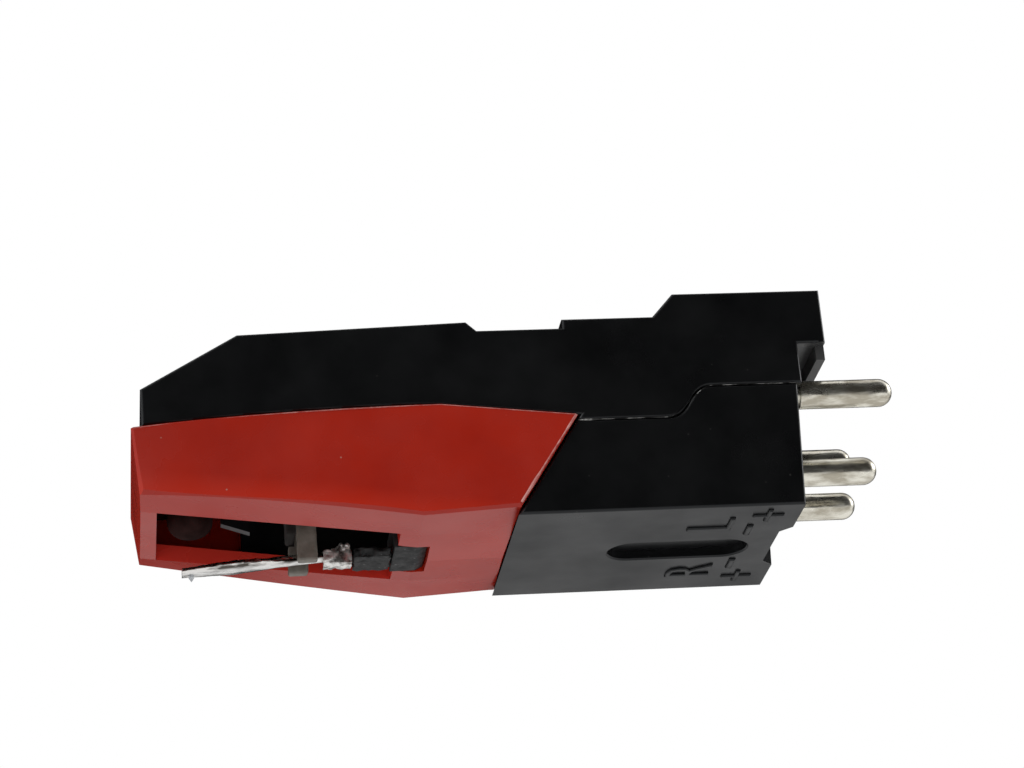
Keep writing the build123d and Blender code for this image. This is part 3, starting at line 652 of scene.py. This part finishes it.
yoke = merged_copy("coupling_yoke")
join_flat(yoke)
soften(yoke, YOKE_SOFTNESS)
for v in yoke.verts:
    if v.co.x > prong_root.x and v.co.y > prong_root.y and v.co.z < prong_root.z:
        v.co.x -= PRONG_LEAN * (prong_root.z - v.co.z)
yoke = add_piece("forked_yoke", yoke, "case", yoke_plastic, smooth=False)
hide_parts("coupling_yoke")

# %% [markdown]
# The rubber plug is pushed into the tail of the window, and the gap behind it, up to the tail's end, lies in
# deep shade. Its softened copy gets a heel of dark rubber that fills the gap and stands in for that shade as
# painted shade: the rear face is extruded to the end of the tail, and the lower edge of the new face is
# raised, so that the heel slopes up into the shade.

# %% Rubber plug
PLUG_SOFTNESS = 0.05 * MM
SHADE_HEEL_LENGTH = 0.44 * MM
SHADE_HEEL_RISE = 0.22 * MM
plug = merged_copy("pivot_plug")
join_flat(plug)
plug.normal_update()
plug_rear = max(plug.faces, key=lambda face: face.normal.x)
plug_middle = plug_rear.calc_center_median().z
# The heel is painted shade: dark rubber put into the shaded gap behind the plug.
heel = bmesh.ops.extrude_discrete_faces(plug, faces=[plug_rear])["faces"][0]
for v in heel.verts:
    v.co.x += SHADE_HEEL_LENGTH
    v.co.z += SHADE_HEEL_RISE if v.co.z < plug_middle else 0.0
soften(plug, PLUG_SOFTNESS)
plug = add_piece("rubber_plug", plug, "stylus_unit", rubber, smooth=False)
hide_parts("pivot_plug")

# %% [markdown]
# A round boss hangs from the roof of the nose, and its domed end shows through the front of the window. The
# dome is a short profile spun about the boss's axis, with a quarter circle for its rounded rim. It is a dull
# brownish black, because little light reaches it.

# %% Domed boss in the nose
BOSS_PLACE = Vector((-27.775 * MM, 0, -9.70 * MM))
BOSS_RADIUS = 1.13 * MM
BOSS_RIM = 0.8 * MM
BOSS_RISE = 1.9 * MM
RIM_STEPS = 8
profile = [(0.0, BOSS_RISE), (BOSS_RADIUS, BOSS_RISE)]
for i in range(RIM_STEPS + 1):
    turn = pi / 2 * i / RIM_STEPS
    profile.append((BOSS_RADIUS - BOSS_RIM + BOSS_RIM * cos(turn), BOSS_RIM - BOSS_RIM * sin(turn)))
profile.append((0.0, 0.0))
boss = bmesh.new()
spots = [boss.verts.new(BOSS_PLACE + Vector((r, 0, z))) for r, z in profile]
strokes = [boss.edges.new(pair) for pair in zip(spots, spots[1:])]
bmesh.ops.spin(
    boss, geom=spots + strokes, cent=BOSS_PLACE, axis=(0, 0, 1), angle=2 * pi, steps=40, use_merge=True,
)
bmesh.ops.remove_doubles(boss, verts=boss.verts, dist=MERGE)
dull = Finish("dull_boss_black")
dull.feed("Base Color", dull.ramp(dull.noise(scale=1200), (0.014, 0.0060, 0.0055), (0.030, 0.0140, 0.0130)))
dull.set(Roughness=0.85, Specular_IOR_Level=0.02)
add_piece("domed_boss", boss, "case", dull, smooth=True)

# %% [markdown]
# The collar is a scrap of thin metal that was crimped round the lever with pliers, so it is all dents and
# ridges. Modelling each dent would be slow, so a box of small faces is pushed inwards by a ridged noise,
# which keeps it within the solid that it stands for. It stays flat shaded, so that each dent catches the
# light by itself, and two round knobs stand where the ends of the crimp were folded over.

# %% Crumpled collar
CORNER_ROUNDING = 0.35
WAIST_AT = -0.15
WAIST_REACH = 0.22
NOISE_SHIFT = Vector((3, 7, 1))
KNOB_RADIUS = 0.13 * MM
KNOB_PLACES = (Vector((0.22, -0.44, 0.42)) * MM, Vector((0.50, -0.44, 0.42)) * MM)


def lumpy_box(low, high, cuts, depth, grain, waist=0.0, slope=0.0, lower=1.0):
    """A box pushed in by a ridged noise, with shallower dents below, a waist and a sloping top."""
    shape = bmesh.new()
    bmesh.ops.create_cube(shape, size=2.0)
    bmesh.ops.subdivide_edges(shape, edges=shape.edges, cuts=cuts, use_grid_fill=True)
    middle = (low + high) / 2
    half = (high - low) / 2
    for v in shape.verts:
        unit = v.co.copy()
        corner = max(abs(unit.y), abs(unit.z))
        reach = (unit.y**2 + unit.z**2) ** 0.5 / corner if corner else 1.0
        rounding = 1 - CORNER_ROUNDING * (1 - 1 / reach)
        spot = Vector((unit.x * half.x, unit.y * half.y, unit.z * half.z))
        ridged = 1 - abs(noise.noise((middle + spot) * grain))
        dent = depth * ridged * abs(noise.noise((middle - spot) * grain / 2 + NOISE_SHIFT))
        dent *= 1.0 if unit.z > 0 else lower
        in_waist = max(0.0, 1 - abs(unit.x - WAIST_AT) / WAIST_REACH)
        scale = rounding * (1 - dent) * (1 - waist * in_waist)
        drop = slope * max(0.0, unit.z) * (1 - unit.x) / 2 * half.z
        v.co = middle + Vector((spot.x * (1 - dent / 2), spot.y * scale, spot.z * scale - drop))
    return shape


collar_low, collar_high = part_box("crimp_collar")
collar = lumpy_box(
    collar_low, collar_high, cuts=17, depth=0.80, grain=2700, waist=0.12, slope=0.40, lower=0.45,
)
for knob in KNOB_PLACES:
    place = Matrix.Translation((collar_low + collar_high) / 2 + knob)
    bmesh.ops.create_icosphere(collar, subdivisions=2, radius=KNOB_RADIUS, matrix=place)
collar = add_piece("crumpled_collar", collar, "lever", crimp_metal, smooth=False)
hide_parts("crimp_collar")

# %% [markdown]
# The rubber sleeve behind the collar is a torn-off length of soft rod. It is made in the same way as the
# collar, with shallower and smoother lumps, and it is a little slimmer than the solid that it stands for,
# as the photograph shows it.

# %% Lumpy sleeve
SLEEVE_SIDE = Vector((0.0, 0.12, 0.0)) * MM
SLEEVE_TOP = Vector((0.0, 0.0, 0.32)) * MM
sleeve_low, sleeve_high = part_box("pivot_sleeve")
sleeve = lumpy_box(
    sleeve_low + SLEEVE_SIDE, sleeve_high - SLEEVE_SIDE - SLEEVE_TOP, cuts=19, depth=0.45, grain=3000,
)
sleeve = add_piece("lumpy_sleeve", sleeve, "rubber_pivot", rubber, smooth=True)
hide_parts("pivot_sleeve")

# %% [markdown]
# The lever is a thin drawn tube, pressed flat towards the stylus. Pressing leaves it wavy, with deeper dents
# on top than below. A bar is cut into many rings, each ring is given the solid's width and height at its
# place, and every corner is pulled in by a noise that is stretched along the lever, so that the dents run
# lengthwise. The helper that makes such a bar serves the ridges below too.

# %% Pressed lever
TUBE = 0.56 * MM
TUBE_LENGTH = 2.3 * MM
BLADE_LENGTH = 2.5 * MM
BLADE = (1.7 * MM, 0.55 * MM)
BLADE_END = (1.0 * MM, 0.4 * MM)
RINGS = 90
RING_POINTS = 28
DENT_STRETCH = 0.35
TOP_DENT = 0.50
UNDER_DENT = 0.10
UNDER_FROM = -0.2
COARSE_DENTS = 2400
FINE_DENTS = 7000
FINE_SHARE = 0.4
lever_low, lever_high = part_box("cantilever")
root_z = lever_high.z - TUBE / 2
end_z = lever_low.z + BLADE_END[1] / 2
lever_span = lever_high.x - lever_low.x


def ring_bar(shape, rings, sides):
    """Make an empty shape a bar cut into rings, and list its corners, each with its ring and its turn."""
    bmesh.ops.create_cone(shape, cap_ends=True, segments=sides, radius1=1.0, radius2=1.0, depth=1.0)
    lengthwise = [e for e in shape.edges if abs(e.verts[0].co.z - e.verts[1].co.z) > 0.5]
    bmesh.ops.subdivide_edges(shape, edges=lengthwise, cuts=rings - 2)
    return [(v, round((v.co.z + 0.5) * (rings - 1)), atan2(v.co.y, v.co.x)) for v in shape.verts]


def lever_section(x):
    """Width and height of the lever at a place along x."""
    behind_root = lever_high.x - x
    wide_x = lever_span - BLADE_LENGTH
    if behind_root < TUBE_LENGTH:
        return TUBE, TUBE
    if behind_root < wide_x:
        share = (behind_root - TUBE_LENGTH) / (wide_x - TUBE_LENGTH)
        return TUBE + (BLADE[0] - TUBE) * share, TUBE + (BLADE[1] - TUBE) * share
    share = (behind_root - wide_x) / BLADE_LENGTH
    return tuple(BLADE[i] + (BLADE_END[i] - BLADE[i]) * share for i in (0, 1))


lever = bmesh.new()
for v, ring, turn in ring_bar(lever, RINGS, RING_POINTS):
    x = lever_low.x + lever_span * ring / (RINGS - 1)
    z = end_z + (root_z - end_z) * ring / (RINGS - 1)
    across, tall = lever_section(x)
    reach = Vector((0, across / 2 * cos(turn), tall / 2 * sin(turn)))
    spot = Vector((x * DENT_STRETCH, reach.y, z + reach.z))
    depth = TOP_DENT if sin(turn) > UNDER_FROM else UNDER_DENT
    dents = abs(noise.noise(spot * COARSE_DENTS)) + FINE_SHARE * abs(noise.noise(spot * FINE_DENTS))
    v.co = Vector((x, 0, z)) + reach * (1 - depth * dents)
lever = add_piece("pressed_lever", lever, "lever", lever_metal, smooth=True)
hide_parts("cantilever")

# %% [markdown]
# Where the two halves of the case meet, a thread of moulding flash was left along the seam, and it glints. A
# bump would not catch the light from the side, so a thin ridge of uneven width follows the seam on both
# sides, in black with pale spots that are painted glints. It is a bar of three sides, laid along the seam's
# S-shaped step.

# %% Seam flash
RIDGE_SIDES = 3
SIDE_SHIFT = 90
SEAM_STEPS = 139
SEAM_DROP = 1.6 * MM
SEAM_LIFT = 0.025 * MM
FLASH_WIDTH = 0.02 * MM
FLASH_SWELL = 0.10 * MM
FLASH_PROUD = 0.03 * MM
step_top_x = block_high.x - 4.27 * MM
step_foot_x = block_high.x - 6.67 * MM
seam_front_x = block_high.x - 11.1 * MM


def ridge(shape, points, side, widths, proud):
    """Add a thin ridge along points (x, z) at a place across, this far proud of it."""
    steps = [Vector((b[0] - a[0], 0, b[1] - a[1])).normalized() for a, b in zip(points, points[1:])]
    steps.append(steps[-1])
    out = Vector((0, proud if side > 0 else -proud, 0))
    bar = bmesh.new()
    for v, ring, turn in ring_bar(bar, len(points), RIDGE_SIDES):
        foot = Vector((points[ring][0], side, points[ring][1]))
        across = Vector((-steps[ring].z, 0, steps[ring].x)) * widths[ring] / 2
        corner = round(turn * RIDGE_SIDES / (2 * pi)) % RIDGE_SIDES
        v.co = foot + (-across, out, across)[corner]
    mesh = bpy.data.meshes.new("ridge")
    bar.to_mesh(mesh)
    bar.free()
    shape.from_mesh(mesh)
    bpy.data.meshes.remove(mesh)


def swell(place, side, grain, layer):
    """A share from 0 up that wanders along a ridge and differs between the two sides."""
    return max(0.0, noise.noise((place * grain, side * SIDE_SHIFT, layer)))


def seam_height(x):
    """Height of the seam, with its S-shaped step."""
    share = min(1.0, max(0.0, (step_top_x - x) / (step_top_x - step_foot_x)))
    return block_high.z + SEAM_LIFT - SEAM_DROP * share * share * (3 - 2 * share)


seam_points = []
for i in range(SEAM_STEPS + 1):
    x = block_high.x + (seam_front_x - block_high.x) * i / SEAM_STEPS
    seam_points.append((x, seam_height(x)))
flash = bmesh.new()
for side in (block_low.y, block_high.y):
    widths = [FLASH_WIDTH + FLASH_SWELL * swell(x, side, grain=900, layer=5) for x, z in seam_points]
    ridge(flash, seam_points, side, widths, FLASH_PROUD)
# The pale spots of this finish are painted glints.
flash_glint_paint = Finish("flash_black_painted_glints")
glint_noise = flash_glint_paint.noise(scale=1800)
flash_glint_paint.feed("Base Color", flash_glint_paint.ramp(glint_noise, (0.012, 0.012, 0.012), (0.55, 0.55, 0.53), 0.50, 0.66))
flash_glint_paint.set(Roughness=0.45)
add_piece("seam_flash", flash, "case", flash_glint_paint, smooth=False)

# %% [markdown]
# The red holder has a painted highlight along its slanting rear end: a pale line where the edge catches the
# light. It is carried by a ridge like the seam's, a little proud of the edge, on both sides. The ridges are
# kept in one shape, which the next cell adds to.

# %% Slanting end with a painted highlight
END_TOP = Vector((-9.14, -6.36)) * MM
END_FOOT = Vector((-12.18, -10.80)) * MM
END_ACROSS = 6.18 * MM
END_STEPS = 59
END_WIDTH = 0.08 * MM
END_SWELL = 0.16 * MM
END_PROUD = 0.035 * MM
end_points = [tuple(END_TOP.lerp(END_FOOT, i / END_STEPS)) for i in range(END_STEPS + 1)]
painted_edge_highlight = bmesh.new()
for side in (-END_ACROSS, END_ACROSS):
    widths = [END_WIDTH + END_SWELL * swell(z, side, grain=1200, layer=2) for x, z in end_points]
    ridge(painted_edge_highlight, end_points, side, widths, END_PROUD)
print("slanting end", round((END_TOP - END_FOOT).length / MM, 2), "mm long")

# %% [markdown]
# The holder's upper rim gets a painted highlight too. It is bowed, so its points are read from the solid
# itself: they lie on the edges between a face that looks up and one that looks sideways. A narrow, even ridge
# follows them a hair below the rim, and then the ridges on both edges are finished in a paler red, which is
# the painted highlight.

# %% Rim with a painted highlight
RIM_ACROSS = 6.1 * MM
RIM_DROP = 0.03 * MM
RIM_WIDTH = 0.06 * MM
RIM_PROUD = 0.045 * MM
FACING = 0.8
holder = merged_copy("stylus_holder")
rim_spots = set()
for edge in holder.edges:
    if len(edge.link_faces) == 2 and abs(edge.verts[0].co.y) > RIM_ACROSS:
        aside, up = sorted((face.normal for face in edge.link_faces), key=lambda normal: normal.z)
        if up.z > FACING and abs(aside.y) > FACING:
            rim_spots.update((round(v.co.x, 6), round(v.co.z - RIM_DROP, 6)) for v in edge.verts)
holder.free()
rim_points = sorted(rim_spots)
print("rim points", len(rim_points))
for side in (-END_ACROSS, END_ACROSS):
    ridge(painted_edge_highlight, rim_points, side, [RIM_WIDTH] * len(rim_points), RIM_PROUD)
# The paler red of these ridges is a painted highlight.
painted_highlight_red = Finish("painted_highlight_red")
highlight_noise = painted_highlight_red.noise(scale=2200)
painted_highlight_red.feed("Base Color", painted_highlight_red.ramp(highlight_noise, (0.38, 0.05, 0.04), (0.62, 0.30, 0.27)))
painted_highlight_red.set(Roughness=0.5)
add_piece("painted_edge_highlight", painted_edge_highlight, "stylus_unit", painted_highlight_red, smooth=False)
